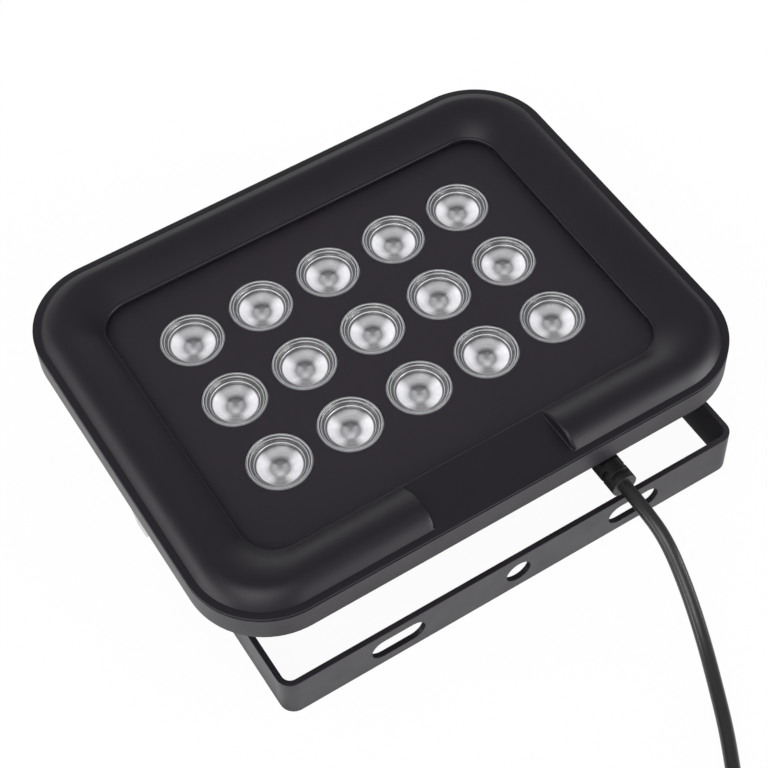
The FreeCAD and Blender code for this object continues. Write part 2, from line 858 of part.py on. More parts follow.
def cable_coil():
    """The outer shape of the coil: a low ring, narrower at its top layer."""
    half = coil_turns_across * cable_radius
    top_half = half - cable_radius
    layer_rise = 2 * cable_radius * math.cos(math.pi / 6)
    top = cable_lift + 2 * cable_radius + (coil_layers - 1) * layer_rise
    return turned([
        (cable_lift, coil_mid_radius - half + coil_bevel),
        (cable_lift, coil_mid_radius + half - coil_bevel),
        (cable_lift + coil_bevel, coil_mid_radius + half),
        (cable_axis_z + coil_bevel, coil_mid_radius + half),
        (top, coil_mid_radius + top_half - coil_bevel),
        (top, coil_mid_radius - top_half + coil_bevel),
        (cable_axis_z + coil_bevel, coil_mid_radius - half),
        (cable_lift + coil_bevel, coil_mid_radius - half),
    ], coil_centre(), along_z, along_x)


def tail_route():
    """The cable's last stretch, from the coil's top layer to the plug."""
    centre = coil_centre()
    exit_radius = coil_mid_radius + (coil_turns_across - 2) * cable_radius
    angle = math.radians(coil_exit_angle)
    layer_rise = 2 * cable_radius * math.cos(math.pi / 6)
    start = centre + point(exit_radius * math.cos(angle), exit_radius * math.sin(angle), 0)
    route = [(start.x, start.y, cable_axis_z + layer_rise)]
    return route + [(centre.x + x, centre.y + y, z) for x, y, z in tail_steps]


def plug_place():
    """Where the plug begins, and the way it points."""
    return point(*tail_route()[-1]), along_x * -1


def plug_body():
    """Moulded grip with a tapered neck."""
    origin, outward = plug_place()
    end = plug_neck_length + plug_grip_length
    shoulder = plug_grip_radius - plug_chamfer
    return turned([
        (0, 0), (0, plug_neck_radius), (plug_neck_length, plug_neck_radius + plug_chamfer),
        (plug_neck_length, shoulder), (plug_neck_length + plug_chamfer, plug_grip_radius),
        (end - plug_chamfer, plug_grip_radius), (end, shoulder), (end, 0),
    ], origin, outward, along_z)


def plug_sleeve(outer, inner, extra):
    """One of the plug's three nested sleeves."""
    origin, outward = plug_place()
    start = origin + outward * (plug_neck_length + plug_grip_length)
    sleeve = Part.makeCylinder(outer, barrel_length + extra, start, outward)
    return sleeve.cut(Part.makeCylinder(inner, barrel_length + extra, start, outward))


def nodes():
    """Every piece of the lamp, by name."""
    made = {
        "front_bezel": front_bezel(),
        "window_panel": window_panel(),
        "window_gasket": window_gasket(),
        "emitter_board": emitter_board(),
        "rear_housing": rear_housing(),
        "driver_board": driver_board(),
        "driver_inductor": driver_inductor(),
        "driver_capacitor": driver_capacitor(),
        "driver_chip": driver_chip(),
        "supply_wire_positive": supply_wire(-1, "supply_wire_positive"),
        "supply_wire_negative": supply_wire(1, "supply_wire_negative"),
        "emitter_wire_positive": emitter_wire(-1, "emitter_wire_positive"),
        "emitter_wire_negative": emitter_wire(1, "emitter_wire_negative"),
        "strain_relief": strain_relief(),
        "bezel_screws": screws(
            bezel_screw_places, slab_back, -1, bezel_screw_length, screw_radius, screw_head_radius),
        "board_screws": screws(
            board_screw_places, board_top, 1, board_screw_length, screw_radius, screw_head_radius),
        "driver_screws": screws(
            driver_screw_places, driver_top, 1, driver_screw_length,
            driver_screw_radius, driver_screw_head_radius),
        "pivot_bolts": pivot_bolts(),
        "flat_washers": flat_washers(),
        "spring_washers": spring_washers(),
        "friction_washers": friction_washers(),
        "bracket": bracket(),
        "cable": tube(cable_route, cable_radius, "cable"),
        "cable_coil": cable_coil(),
        "cable_tail": tube(tail_route(), cable_radius, "cable_tail"),
        "plug_body": plug_body(),
        "plug_barrel": plug_sleeve(barrel_radius, barrel_radius - barrel_wall, 0.0),
        "plug_insulator": plug_sleeve(insulator_outer, insulator_outer - insulator_wall, fit_gap),
        "plug_contact": plug_sleeve(contact_outer, contact_bore_radius, 0.0),
    }
    for index, (x, y) in enumerate(lens_places(), start=1):
        made["lens_%02d" % index] = lens(x, y)
        made["emitter_%02d" % index] = emitter(x, y)
    return made


os.makedirs("parts", exist_ok=True)
for name, shape in nodes().items():
    shape.exportStep(os.path.join("parts", name + ".step"))
    print(name, len(shape.Solids), round(shape.Volume, 1), shape.isValid())
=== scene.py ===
import math

import bpy
import numpy as np
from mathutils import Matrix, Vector


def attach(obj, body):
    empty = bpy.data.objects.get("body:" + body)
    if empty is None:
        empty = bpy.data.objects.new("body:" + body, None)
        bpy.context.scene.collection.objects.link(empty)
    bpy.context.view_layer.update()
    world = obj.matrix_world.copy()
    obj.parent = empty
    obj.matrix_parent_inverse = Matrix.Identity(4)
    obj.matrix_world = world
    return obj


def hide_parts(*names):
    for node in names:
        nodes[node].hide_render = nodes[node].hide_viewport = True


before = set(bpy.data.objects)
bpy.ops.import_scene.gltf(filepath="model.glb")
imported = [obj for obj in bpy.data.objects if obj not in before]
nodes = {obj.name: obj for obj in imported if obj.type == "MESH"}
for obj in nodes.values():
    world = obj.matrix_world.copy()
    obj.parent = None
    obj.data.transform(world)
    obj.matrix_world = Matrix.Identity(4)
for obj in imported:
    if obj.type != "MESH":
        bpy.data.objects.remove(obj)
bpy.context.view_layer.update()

mm = 0.001
print("frame loaded", len(nodes), "nodes")


def addToScene(name, data):
    made = bpy.data.objects.new(name, data)
    bpy.context.scene.collection.objects.link(made)
    return made


# Camera, in metres and degrees, placed so that the view matches the photo's.
camera = {
    "location": (-0.168528, -0.301179, 0.495263),
    "turn": (35.63573, 1.84292, -31.95743),
    "lens": 88.4405,
    "sensor": 36.0,
    "nearest": 0.01,
    "farthest": 50.0,
}


def makeCamera(name, spec):
    data = bpy.data.cameras.new(name)
    data.lens = spec["lens"]
    data.sensor_width = spec["sensor"]
    data.clip_start = spec["nearest"]
    data.clip_end = spec["farthest"]
    made = addToScene(name, data)
    made.location = spec["location"]
    made.rotation_euler = [math.radians(angle) for angle in spec["turn"]]
    return made


bpy.context.scene.camera = makeCamera("viewCamera", camera)
bpy.context.scene.view_settings.view_transform = "Standard"


# Cord, in millimetres and degrees as the other new pieces: the CAD route, then about six turns of
# coil in two layers, then the tail to the plug, whose points are counted from the coil's centre.
cord = {
    "radius": 2.2,
    "route": [
        (37.3, -76.6, 24.0), (37.3, -86.0, 24.0), (37.9, -96.5, 20.9), (36.8, -109.0, 12.2),
        (33.5, -122.0, 5.7), (28.2, -135.5, 2.75), (21.0, -151.0, 2.25), (9.1, -171.0, 2.25),
        (-1.6, -185.6, 2.25), (-12.9, -199.4, 2.25),
    ],
    "coilCentre": (-37.349, -179.380),
    "firstAngle": -39.31,
    "lastAngle": -75.0,
    "wholeTurns": 6,
    "lowerTurns": 2.9,
    "climbTurns": 0.5,
    "pitch": 4.45,
    "firstRadius": 31.6,
    "lastRadius": 29.4,
    "climbDip": 2.0,
    "lowLevel": 2.25,
    "highLevel": 6.7,
    "pointsPerTurn": 14,
    "tail": [
        (-5.8, -32.6, 5.2), (-20.8, -38.2, 2.5), (-36.8, -42.4, 2.4), (-51.8, -44.0, 5.15),
        (-64.8, -44.0, 5.15),
    ],
    "smoothness": 10,
    "roundness": 8,
    "lengthSteps": 32,
}


# One point of the coil, a number of turns after its start: the radius shrinks by one pitch a turn
# on the lower layer, dips while the cord climbs, and grows by one pitch a turn on the upper layer.
# The height climbs by a share s of the way as s squared times (3 - 2 s).
def coilPoint(turn, total, spec):
    upperTurns = total - spec["lowerTurns"] - spec["climbTurns"]
    innerLow = spec["firstRadius"] - spec["pitch"] * spec["lowerTurns"]
    innerHigh = spec["lastRadius"] - spec["pitch"] * upperTurns
    climbed = min(1.0, max(0.0, (turn - spec["lowerTurns"]) / spec["climbTurns"]))
    if turn < spec["lowerTurns"]:
        radius = spec["firstRadius"] - spec["pitch"] * turn
    elif climbed >= 1.0:
        radius = spec["lastRadius"] - spec["pitch"] * (total - turn)
    else:
        radius = innerLow + (innerHigh - innerLow) * climbed
        radius -= spec["climbDip"] * math.sin(math.pi * climbed)
    level = spec["lowLevel"] + (spec["highLevel"] - spec["lowLevel"]) * climbed ** 2 * (3 - 2 * climbed)
    angle = math.radians(spec["firstAngle"]) - 2 * math.pi * turn
    x = spec["coilCentre"][0] + radius * math.cos(angle)
    y = spec["coilCentre"][1] + radius * math.sin(angle)
    return (x, y, level)


# The cord's control points: the route, the coil from just after its start, and the tail.
def cordPoints(spec):
    total = spec["wholeTurns"] + (spec["firstAngle"] - spec["lastAngle"]) / 360.0
    count = int(round(total * spec["pointsPerTurn"]))
    points = list(spec["route"])
    points += [coilPoint(total * step / count, total, spec) for step in range(1, count + 1)]
    points += [
        (spec["coilCentre"][0] + x, spec["coilCentre"][1] + y, z) for x, y, z in spec["tail"]
    ]
    return points


# The cord: a round section carried along one smooth line, which touches the middle of each run
# between its control points.
def makeCord(name, spec):
    points = cordPoints(spec)
    data = bpy.data.curves.new(name, "CURVE")
    data.dimensions = "3D"
    line = data.splines.new("NURBS")
    line.points.add(len(points) - 1)
    for place, (x, y, z) in zip(line.points, points):
        place.co = (x * mm, y * mm, z * mm, 1.0)
    line.order_u = 3
    line.use_endpoint_u = True
    data.resolution_u = spec["smoothness"]
    data.bevel_depth = spec["radius"] * mm
    data.bevel_resolution = spec["roundness"]
    data.use_fill_caps = True
    return addToScene(name, data)


cordPiece = makeCord("cordLine", cord)


# The quads of a grid of points, rows by columns, as their corners' numbers. The last row or
# column joins the first where that direction closes.
def gridFaces(rows, columns, closeRows, closeColumns):
    row, column = np.meshgrid(
        np.arange(rows if closeRows else rows - 1),
        np.arange(columns if closeColumns else columns - 1), indexing="ij")
    nextRow = (row + 1) % rows
    nextColumn = (column + 1) % columns
    corners = [
        row * columns + column, row * columns + nextColumn,
        nextRow * columns + nextColumn, nextRow * columns + column,
    ]
    return np.stack(corners, axis=-1).reshape(-1, 4)


# A piece from its points in millimetres and their faces, smooth but for the edges that are
# sharper than an angle in degrees, with a pair of texture values for each point where given.
def makePiece(name, points, faces, sharpAngle, uvs=None):
    mesh = bpy.data.meshes.new(name)
    mesh.from_pydata((points * mm).tolist(), [], [list(face) for face in faces])
    mesh.validate()
    mesh.polygons.foreach_set("use_smooth", np.ones(len(mesh.polygons), dtype=bool))
    mesh.set_sharp_from_angle(angle=math.radians(sharpAngle))
    if uvs is not None:
        layer = mesh.uv_layers.new(name="own")
        corners = np.zeros(len(mesh.loops), dtype=np.int32)
        mesh.loops.foreach_get("vertex_index", corners)
        layer.data.foreach_set("uv", uvs[corners].astype(np.float32).ravel())
    mesh.update()
    return addToScene(name, mesh)


# Bezel: the cross-section of the CAD frame carried round its rounded rectangles, with the
# drain notch pressed flat between two end walls on the lower side. A rounded rectangle is its
# half length, half height and corner radius.
bezel = {
    "head": (90.5, 71.0, 25.0),
    "window": (69.9, 51.1, 10.5),
    "crest": (81.9, 62.4, 18.0),
    "rabbetOuter": (77.7, 58.9, 18.3),
    "outerLip": 2.3,
    "innerLip": 0.8,
    "rise": 4.5,
    "lipLevel": 43.6,
    "seamLevel": 42.6,
    "seamGap": 0.45,
    "seamDepth": 0.7,
    "panelLevel": 42.0,
    "edgeRound": 0.18,
    "windowRound": 0.85,
    "roundSteps": 6,
    "flankSteps": 22,
    "cornerSteps": 40,
    "sideSteps": 10,
    "notchHalf": 23.4,
    "notchCorner": 1.8,
    "notchEdge": 1.0,
    "notchFoot": 0.35,
    "notchPlaces": (0.0, 6.0, 12.0, 17.0, 21.0),  # columns in the notch, from its middle
    "footShares": (1.0, 0.7, 0.4, 0.2, 0.05),  # columns on the fillet, in shares of its radius
    "footGap": 0.01,
    "edgeShares": (0.0, 0.08, 0.2, 0.4, 0.7, 1.0),  # columns on the rounded edge, the same way
    "besidePlaces": (2.2, 4.0, 7.0, 11.0, 17.0, 25.0, 34.0),  # columns past it, from the wall
    "wallNear": 0.1,  # columns from this far before the wall on follow its curve
    "wallFade": 9.0,
    "touch": 0.001,
    "sharpAngle": 34.0,
}


# Columns round a rounded rectangle, corner and side in turn from the upper right corner on. Each
# has its shares of the straight half sides, the direction of its corner's radius that is added,
# and a fixed place along X, which only the lower side's columns have.
def ringColumns(spec, lowerPlaces):
    side = np.linspace(-1, 1, spec["sideSteps"] + 2)[1:-1]
    turn = np.linspace(0, math.pi / 2, spec["cornerSteps"] + 1)
    sides = [
        (-side, 1.0, 0.0, 1.0, np.nan), (-1.0, -side, -1.0, 0.0, np.nan),
        (0.0, -1.0, 0.0, -1.0, lowerPlaces), (1.0, side, 1.0, 0.0, np.nan),
    ]
    parts = []
    for quarter, (signX, signY) in enumerate([(1, 1), (-1, 1), (-1, -1), (1, -1)]):
        angles = turn + quarter * math.pi / 2
        parts += [(signX, signY, np.cos(angles), np.sin(angles), np.nan), sides[quarter]]
    return np.concatenate([np.stack(np.broadcast_arrays(*part)) for part in parts], axis=1)


# Plan points of many rounded rectangles at once: x = share * (half length - radius) + out * radius,
# y in the same way, and x is the fixed place where a column has one.
def ringPoints(outlines, columns):
    shareX, shareY, outX, outY, fixedX = columns
    halfX, halfY, radius = (outlines[:, index:index + 1] for index in range(3))
    x = shareX * (halfX - radius) + outX * radius
    y = shareY * (halfY - radius) + outY * radius
    return np.where(np.isnan(fixedX), x, fixedX), y


# An outline moved outwards by a distance, on both half sides and the corner radius.
def grown(outline, by):
    return tuple(size + by for size in outline)


# A rounded edge up to the lip's level: through a quarter turn the outline moves by the edge's
# size * (1 - cos a), outwards or inwards, and the height climbs by its size * sin a.
def edgeRows(outline, outwards, size, spec):
    turn = np.linspace(0, math.pi / 2, spec["roundSteps"] + 1)
    outlines = [grown(outline, outwards * size * (1 - math.cos(angle))) for angle in turn]
    levels = [spec["lipLevel"] - size + size * math.sin(angle) for angle in turn]
    return list(zip(outlines, levels))


# One flank of the cushion, from a foot to the crest: with the share of the way going from 0 to 1,
# the height is the rise times (1 - (1 - share) squared), a parabola that is level at the crest.
def flankRows(foot, spec):
    share = np.linspace(0, 1, spec["flankSteps"] + 1)
    height = spec["rise"] * (1 - (1 - share) ** 2)
    outlines = np.array(foot) + share[:, None] * (np.array(spec["crest"]) - np.array(foot))
    return outlines, spec["lipLevel"] + height


# The rows of the cross-section, each an outline and its level: the window's wall, the inner flank,
# the outer flank back down, the lip's edge, the seam's groove and the rabbet for the panel.
def bezelRows(spec):
    inner, innerLevels = flankRows(grown(spec["window"], spec["innerLip"]), spec)
    outer, outerLevels = flankRows(grown(spec["head"], -spec["outerLip"]), spec)
    grooveTop = spec["seamLevel"] + spec["seamGap"]
    grooveWall = grown(spec["head"], -spec["seamDepth"])
    rows = [(spec["window"], spec["panelLevel"])]
    rows += edgeRows(spec["window"], 1, spec["windowRound"], spec)
    rows += list(zip(inner, innerLevels))
    rows += list(zip(outer[-2::-1], outerLevels[-2::-1]))
    rows += edgeRows(spec["head"], -1, spec["edgeRound"], spec)[::-1]
    rows += [
        (spec["head"], grooveTop), (grooveWall, grooveTop), (grooveWall, spec["seamLevel"]),
        (spec["rabbetOuter"], spec["seamLevel"]), (spec["rabbetOuter"], spec["panelLevel"]),
    ]
    outlines = np.array([tuple(outline) for outline, level in rows], dtype=float)
    levels = np.array([level for outline, level in rows], dtype=float)
    return outlines, levels


# Places of the lower side's columns along X: through the notch, over the fillet at the end wall's
# foot, over the rounded edge and on along the side, with the same again on the left.
def notchColumns(spec):
    half = spec["notchHalf"]
    fillet = half - spec["footGap"] - spec["notchFoot"] * np.array(spec["footShares"])
    rounded = half + spec["notchEdge"] * np.array(spec["edgeShares"])
    beside = half + np.array(spec["besidePlaces"])
    right = np.concatenate([spec["notchPlaces"], fillet, rounded, beside])
    return np.concatenate([-right[:0:-1], right])


# How far the end walls stand from the middle: half the notch, and more where they curve away at
# the cushion's outer foot, by the corner radius minus the square root of (corner radius squared
# minus the distance past the corner's start squared).
def wallPlaces(y, spec):
    corner = spec["notchCorner"]
    startY = corner - (spec["head"][1] - spec["outerLip"])
    past = np.clip(startY - y, 0.0, corner)
    return spec["notchHalf"] + corner - np.sqrt(corner ** 2 - past ** 2)


# The whole frame as one closed grid. Columns near the notch's end walls follow their curve, less
# and less as far as it fades. Over the notch every cushion row drops to the lip's level, but for
# a fillet at the walls' feet: foot * (1 - the square root of (1 - reach squared)). Next to the
# notch the cushion's end keeps a rounded edge: its height loses the edge's radius minus the
# square root of (radius squared minus the rest of the distance squared).
def bezelPoints(spec):
    half = spec["notchHalf"]
    foot = spec["notchFoot"]
    columns = ringColumns(spec, notchColumns(spec))
    outlines, levels = bezelRows(spec)
    x, y = ringPoints(outlines, columns)
    z = levels[:, None] * np.ones_like(x)
    onLower = ~np.isnan(columns[4])
    raised = np.maximum(z - spec["lipLevel"], 0.0)
    wall = wallPlaces(y, spec)
    moved = (wall - half) * np.clip(1 - (np.abs(x) - half) / spec["wallFade"], 0.0, 1.0)
    follows = onLower & (raised > 0) & (np.abs(x) > half - spec["wallNear"])
    x = np.where(follows, x + np.sign(x) * moved, x)
    distance = np.abs(x) - np.where(raised > 0, wall, half)
    radius = np.minimum(spec["notchEdge"], raised)
    rest = np.clip(radius - distance, 0.0, radius)
    drop = radius - np.sqrt(np.maximum(radius ** 2 - rest ** 2, 0.0))
    reach = np.clip((np.abs(x) - half + foot) / foot, 0.0, 1.0)
    climb = foot * (1 - np.sqrt(1 - reach ** 2))
    inNotch = onLower & (distance < -spec["touch"])
    z = np.where(onLower & ~inNotch, z - drop, z)
    z = np.where(inNotch, z - raised + np.minimum(climb, raised), z)
    return np.stack([x, y, z], axis=-1)


bezelGrid = bezelPoints(bezel)
bezelFaces = gridFaces(bezelGrid.shape[0], bezelGrid.shape[1], True, True)
bezelPiece = makePiece("bezelFrame", bezelGrid.reshape(-1, 3), bezelFaces[:, ::-1], bezel["sharpAngle"])
print("bezel made", len(bezelFaces), "quads")


# Lens: one profile of heights over radii, turned about the lens's own axis. It has the CAD
# lens's cone, flange, rim, dish, bump and pocket, with fine rings on the sloping step. A part of
# the profile starts and ends a little way in from its neighbours, at as many points as it says.
lens = {
    "foot": 27.6,
    "depth": 12.4,
    "radius": 9.85,
    "flangeRadius": 11.5,
    "flangeTop": 11.4,
    "flangeThickness": 1.6,
    "footRadius": 5.4,
    "coneRadius": 9.3,
    "rimWidth": 0.6,
    "edge": 0.12,
    "edgeSteps": 3,
    "dimple": {"depth": 0.16, "reach": 0.75, "start": 0.25, "end": 1.1, "points": 6},
    "bump": {"radius": 3.0, "rise": 0.7, "start": 1.3, "points": 10},
    "dish": {"radius": 6.8, "depth": 1.5, "startGap": 0.25, "points": 30},
    "ridge": {"radius": 4.6, "reach": 0.3, "rise": 0.06},
    "step": {"depth": 2.0, "drop": 0.12, "startGap": 0.12, "endGap": 0.08, "points": 34},
    "rings": {"count": 3, "depth": 0.11},
    "pocket": {"radius": 4.0, "depth": 4.6, "endRadius": 0.4},
    "segments": 96,
    "frontReach": 10.0,
    "besideReach": 1.2,
    "touch": 0.001,
    "sharpAngle": 50.0,
    "columns": 5,
    "rows": 3,
    "columnPitch": 24.0,
    "rowPitch": 26.35,
    "shift": 3.25,
}


# Heights of a sphere about the axis through two rings, each a height and a radius: the sphere's
# centre plus or minus the square root of (its radius squared minus the distance out squared).
def sphereHeights(radii, start, end):
    centre = (end[0] ** 2 + end[1] ** 2 - start[0] ** 2 - start[1] ** 2) / (2 * (end[0] - start[0]))
    ball = math.hypot(start[0] - centre, start[1])
    side = 1 if start[0] > centre else -1
    return centre + side * np.sqrt(ball ** 2 - radii ** 2)


# A soft hump or hollow over radii: its height times e to the power minus (distance / reach) squared.
def softHump(radii, middle, reach, height):
    return height * np.exp(-((radii - middle) / reach) ** 2)


# The bump in the middle of the dish, a sphere with a soft dimple on its top.
def bumpProfile(floor, spec):
    bump, dimple = spec["bump"], spec["dimple"]
    radii = np.concatenate([
        np.linspace(dimple["start"], dimple["end"], dimple["points"]),
        np.linspace(bump["start"], bump["radius"], bump["points"]),
    ])
    heights = sphereHeights(radii, (floor, bump["radius"]), (floor + bump["rise"], 0.0))
    return radii, heights - softHump(radii, 0.0, dimple["reach"], dimple["depth"])


# The dish, a hollow sphere from the bump's foot to its own edge, with a soft ridge on the way.
def dishProfile(floor, step, spec):
    bump, dish, ridge = spec["bump"], spec["dish"], spec["ridge"]
    radii = np.linspace(bump["radius"] + dish["startGap"], dish["radius"], dish["points"])
    heights = sphereHeights(radii, (step, dish["radius"]), (floor, bump["radius"]))
    return radii, heights + softHump(radii, ridge["radius"], ridge["reach"], ridge["rise"])


# The sloping step from the dish's edge to the rim. With the share of the way going from 0 to 1 it
# rises by its depth times the share, less a small drop that fades out, and less the rings:
# depth * (1 - cos(2 pi * count * share)) * sin(pi * share).
def stepProfile(low, rimInner, spec):
    step, rings, inner = spec["step"], spec["rings"], spec["dish"]["radius"]
    radii = np.linspace(inner + step["startGap"], rimInner - step["endGap"], step["points"])
    share = (radii - inner) / (rimInner - inner)
    slope = low + step["depth"] * share - step["drop"] * (1 - share)
    waves = rings["depth"] * (1 - np.cos(share * 2 * math.pi * rings["count"])) * np.sin(math.pi * share)
    return radii, slope - waves


# The profile from the middle of the front, out over the rim, down the side and into the pocket,
# as (radius, height) pairs without the two poles, and then the poles' heights. The rim's two
# edges are quarter turns: edge * (1 - cos a) out and edge * sin a up, and the other way round.
def lensProfile(spec):
    top = spec["depth"]
    step = top - spec["step"]["depth"]
    floor = step - spec["dish"]["depth"]
    edge, radius = spec["edge"], spec["radius"]
    rimInner = radius - spec["rimWidth"]
    flangeLow = spec["flangeTop"] - spec["flangeThickness"]
    pocket = spec["pocket"]
    turn = np.linspace(0, math.pi / 2, spec["edgeSteps"] + 1)
    parts = [
        bumpProfile(floor, spec),
        dishProfile(floor, step, spec),
        stepProfile(step, rimInner, spec),
        (rimInner + edge * (1 - np.cos(turn)), top - edge + edge * np.sin(turn)),
        (radius - edge + edge * np.sin(turn), top - edge + edge * np.cos(turn)),
    ]
    outer = [
        (radius, spec["flangeTop"]), (spec["flangeRadius"], spec["flangeTop"]),
        (spec["flangeRadius"], flangeLow), (spec["coneRadius"], flangeLow), (spec["footRadius"], 0.0),
        (pocket["radius"], 0.0), (pocket["radius"], pocket["depth"]),
        (pocket["endRadius"], pocket["depth"]),
    ]
    profile = np.vstack([np.stack(part, axis=-1) for part in parts] + [outer])
    return profile, (floor + spec["bump"]["rise"] - spec["dimple"]["depth"], pocket["depth"])


# Points of one lens: (x + r cos a, y + r sin a, foot + height), with a pole at each end. The
# texture values are half plus half of (reach cos a, reach sin a), where the reach is the radius
# over ten millimetres on the front face and 1.2 elsewhere.
def makeLens(name, centre, spec, profile, poles):
    angle = np.arange(spec["segments"]) * 2 * math.pi / spec["segments"]
    radius = profile[:, :1]
    x = centre[0] + radius * np.cos(angle)
    y = centre[1] + radius * np.sin(angle)
    z = spec["foot"] + profile[:, 1:] * np.ones_like(x)
    points = np.stack([x, y, z], axis=-1).reshape(-1, 3)
    ends = np.array([(centre[0], centre[1], spec["foot"] + level) for level in poles])
    faces = gridFaces(len(profile), spec["segments"], False, True)[:, ::-1].tolist()
    pole = np.full(spec["segments"], len(points))
    column = np.arange(spec["segments"])
    following = (column + 1) % spec["segments"]
    last = (len(profile) - 1) * spec["segments"]
    faces += np.stack([pole, column, following], axis=-1).tolist()
    faces += np.stack([pole + 1, last + following, last + column], axis=-1).tolist()
    front = np.cumsum(profile[:, 0] >= spec["radius"] - spec["touch"]) == 0
    reach = np.where(front, profile[:, 0] / spec["frontReach"], spec["besideReach"])[:, None]
    uvs = 0.5 + 0.5 * np.stack([reach * np.cos(angle), reach * np.sin(angle)], axis=-1).reshape(-1, 2)
    uvs = np.vstack([uvs, [[0.5, 0.5], [0.5 + 0.5 * spec["besideReach"], 0.5]]])
    return makePiece(name, np.vstack([points, ends]), faces, spec["sharpAngle"], uvs)


# The lenses' middles, row by row from the upper left one on.
def lensCentres(spec):
    column, row = np.meshgrid(
        np.arange(spec["columns"]) - (spec["columns"] - 1) / 2,
        (spec["rows"] - 1) / 2 - np.arange(spec["rows"]))
    return np.stack([
        column.ravel() * spec["columnPitch"], spec["shift"] + row.ravel() * spec["rowPitch"],
    ], axis=-1)


lensShape, lensPoles = lensProfile(lens)
lensPieces = {}
for index, centre in enumerate(lensCentres(lens)):
    number = "%02d" % (index + 1)
    lensPieces["lens_" + number] = makeLens("lensShape_" + number, centre, lens, lensShape, lensPoles)
print("lenses made", len(lensPieces))


# Window: a clear pane over a black plate, together as thick as the CAD plate. The plate has a
# round hole over each lens.
window = {
    "outline": (74.8, 56.0, 15.4),
    "back": 39.0,
    "plateFace": 40.0,
    "paneBack": 40.1,
    "paneFace": 42.0,
    "holeRadius": 10.1,
    "holeSteps": 24,
    "cornerSteps": 12,
    "sharpAngle": 30.0,
}


# Points on the edge of a box about the origin, the same number on each side, from the lower
# right corner on, anticlockwise: the corner plus an even share of the way to the next corner.
def boxEdge(halfX, halfY, steps):
    share = np.arange(steps) / steps
    corners = np.array([(halfX, -halfY), (halfX, halfY), (-halfX, halfY), (-halfX, -halfY)])
    following = np.roll(corners, -1, axis=0)
    points = corners[:, None, :] + share[None, :, None] * (following - corners)[:, None, :]
    return points.reshape(-1, 2)


# The plate's face about one lens: rows from the hole's circle out to the edge of the lens's own
# cell, where each column runs straight from radius * (cos a, sin a) to the cell's edge.
def cellGrid(spec, halfX, halfY):
    edge = boxEdge(halfX, halfY, spec["holeSteps"])
    angle = np.arctan2(edge[:, 1], edge[:, 0])
    circle = spec["holeRadius"] * np.stack([np.cos(angle), np.sin(angle)], axis=-1)
    return np.stack([circle, edge])


# A closed rounded slab from one level to another: rows of one outline that starts and ends in
# the middle, with the corner arc (cos a, sin a) * radius about each corner's centre.
def slabPoints(outline, low, high, steps):
    halfX, halfY, radius = outline
    turn = np.linspace(0, math.pi / 2, steps + 1)
    angle = (turn[None, :] + np.arange(4)[:, None] * math.pi / 2).ravel()
    signX = np.repeat([1, -1, -1, 1], steps + 1)
    signY = np.repeat([1, 1, -1, -1], steps + 1)
    x = signX * (halfX - radius) + radius * np.cos(angle)
    y = signY * (halfY - radius) + radius * np.sin(angle)
    inset = np.array([0.0, 1.0, 1.0, 0.0])[:, None]
    level = np.array([low, low, high, high])[:, None] * np.ones_like(x)
    return np.stack([inset * x, inset * y, level], axis=-1)


# The pane: one slab over the plate.
def makePane(name, spec):
    points = slabPoints(spec["outline"], spec["paneBack"], spec["paneFace"], spec["cornerSteps"])
    faces = gridFaces(points.shape[0], points.shape[1], False, True)
    return makePiece(name, points.reshape(-1, 3), faces, spec["sharpAngle"])


# The plate: a cell about each lens, a border from the cells' edge to the outline, the same again
# below with the faces turned over, and the walls of the holes and of the outline between them.
def makePlate(name, spec, lensSpec):
    halfX = lensSpec["columnPitch"] / 2
    halfY = lensSpec["rowPitch"] / 2
    high, low = spec["plateFace"], spec["back"]
    cell = cellGrid(spec, halfX, halfY)
    centres = lensCentres(lensSpec)
    flatCells = cell[None] + centres[:, None, None, :]
    rows = np.stack([flatCells[:, 1], flatCells[:, 0], flatCells[:, 0], flatCells[:, 1]], axis=1)
    levels = np.array([high, high, low, low])
    height = np.broadcast_to(levels[None, :, None, None], (*rows.shape[:3], 1))
    cells = np.concatenate([rows, height], axis=-1)
    around = cell.shape[1]
    offsets = np.arange(len(centres))[:, None, None] * 4 * around
    cellFaces = (gridFaces(4, around, False, True)[None] + offsets).reshape(-1, 4)
    border = slabPoints(spec["outline"], low, high, spec["cornerSteps"])
    columns = border.shape[1]
    block = np.array([lensSpec["columns"] * halfX, lensSpec["rows"] * halfY])
    corner = np.repeat([[1, 1], [-1, 1], [-1, -1], [1, -1]], columns // 4, axis=0) * block
    border[[0, 3], :, :2] = corner + np.array([0.0, lensSpec["shift"]])
    borderFaces = gridFaces(4, columns, False, True) + cells.size // 3
    points = np.vstack([cells.reshape(-1, 3), border.reshape(-1, 3)])
    return makePiece(name, points, np.vstack([cellFaces, borderFaces]), spec["sharpAngle"])


panePiece = makePane("windowPane", window)
platePiece = makePlate("windowPlate", window, lens)
print("window made")


# Housing: the CAD casting with the outer ends of its fins sloping inwards towards the back, where
# y loses an inset times (one minus height over slope depth) below that depth.
housing = {"finEnd": 40.0, "slopeDepth": 9.0, "inset": 6.0}


def makeHousing(name, source, spec):
    mesh = source.copy()
    mesh.name = name
    points = np.zeros(len(mesh.vertices) * 3, dtype=np.float32)
    mesh.vertices.foreach_get("co", points)
    points = points.reshape(-1, 3)
    share = np.clip(1 - points[:, 2] / (spec["slopeDepth"] * mm), 0.0, 1.0)
    outer = np.abs(points[:, 1]) > spec["finEnd"] * mm
    points[:, 1] -= np.sign(points[:, 1]) * spec["inset"] * mm * share * outer
    mesh.vertices.foreach_set("co", points.ravel())
    mesh.update()
    return addToScene(name, mesh)


housingPiece = makeHousing("housingCasting", nodes["rear_housing"].data, housing)
print("housing made")


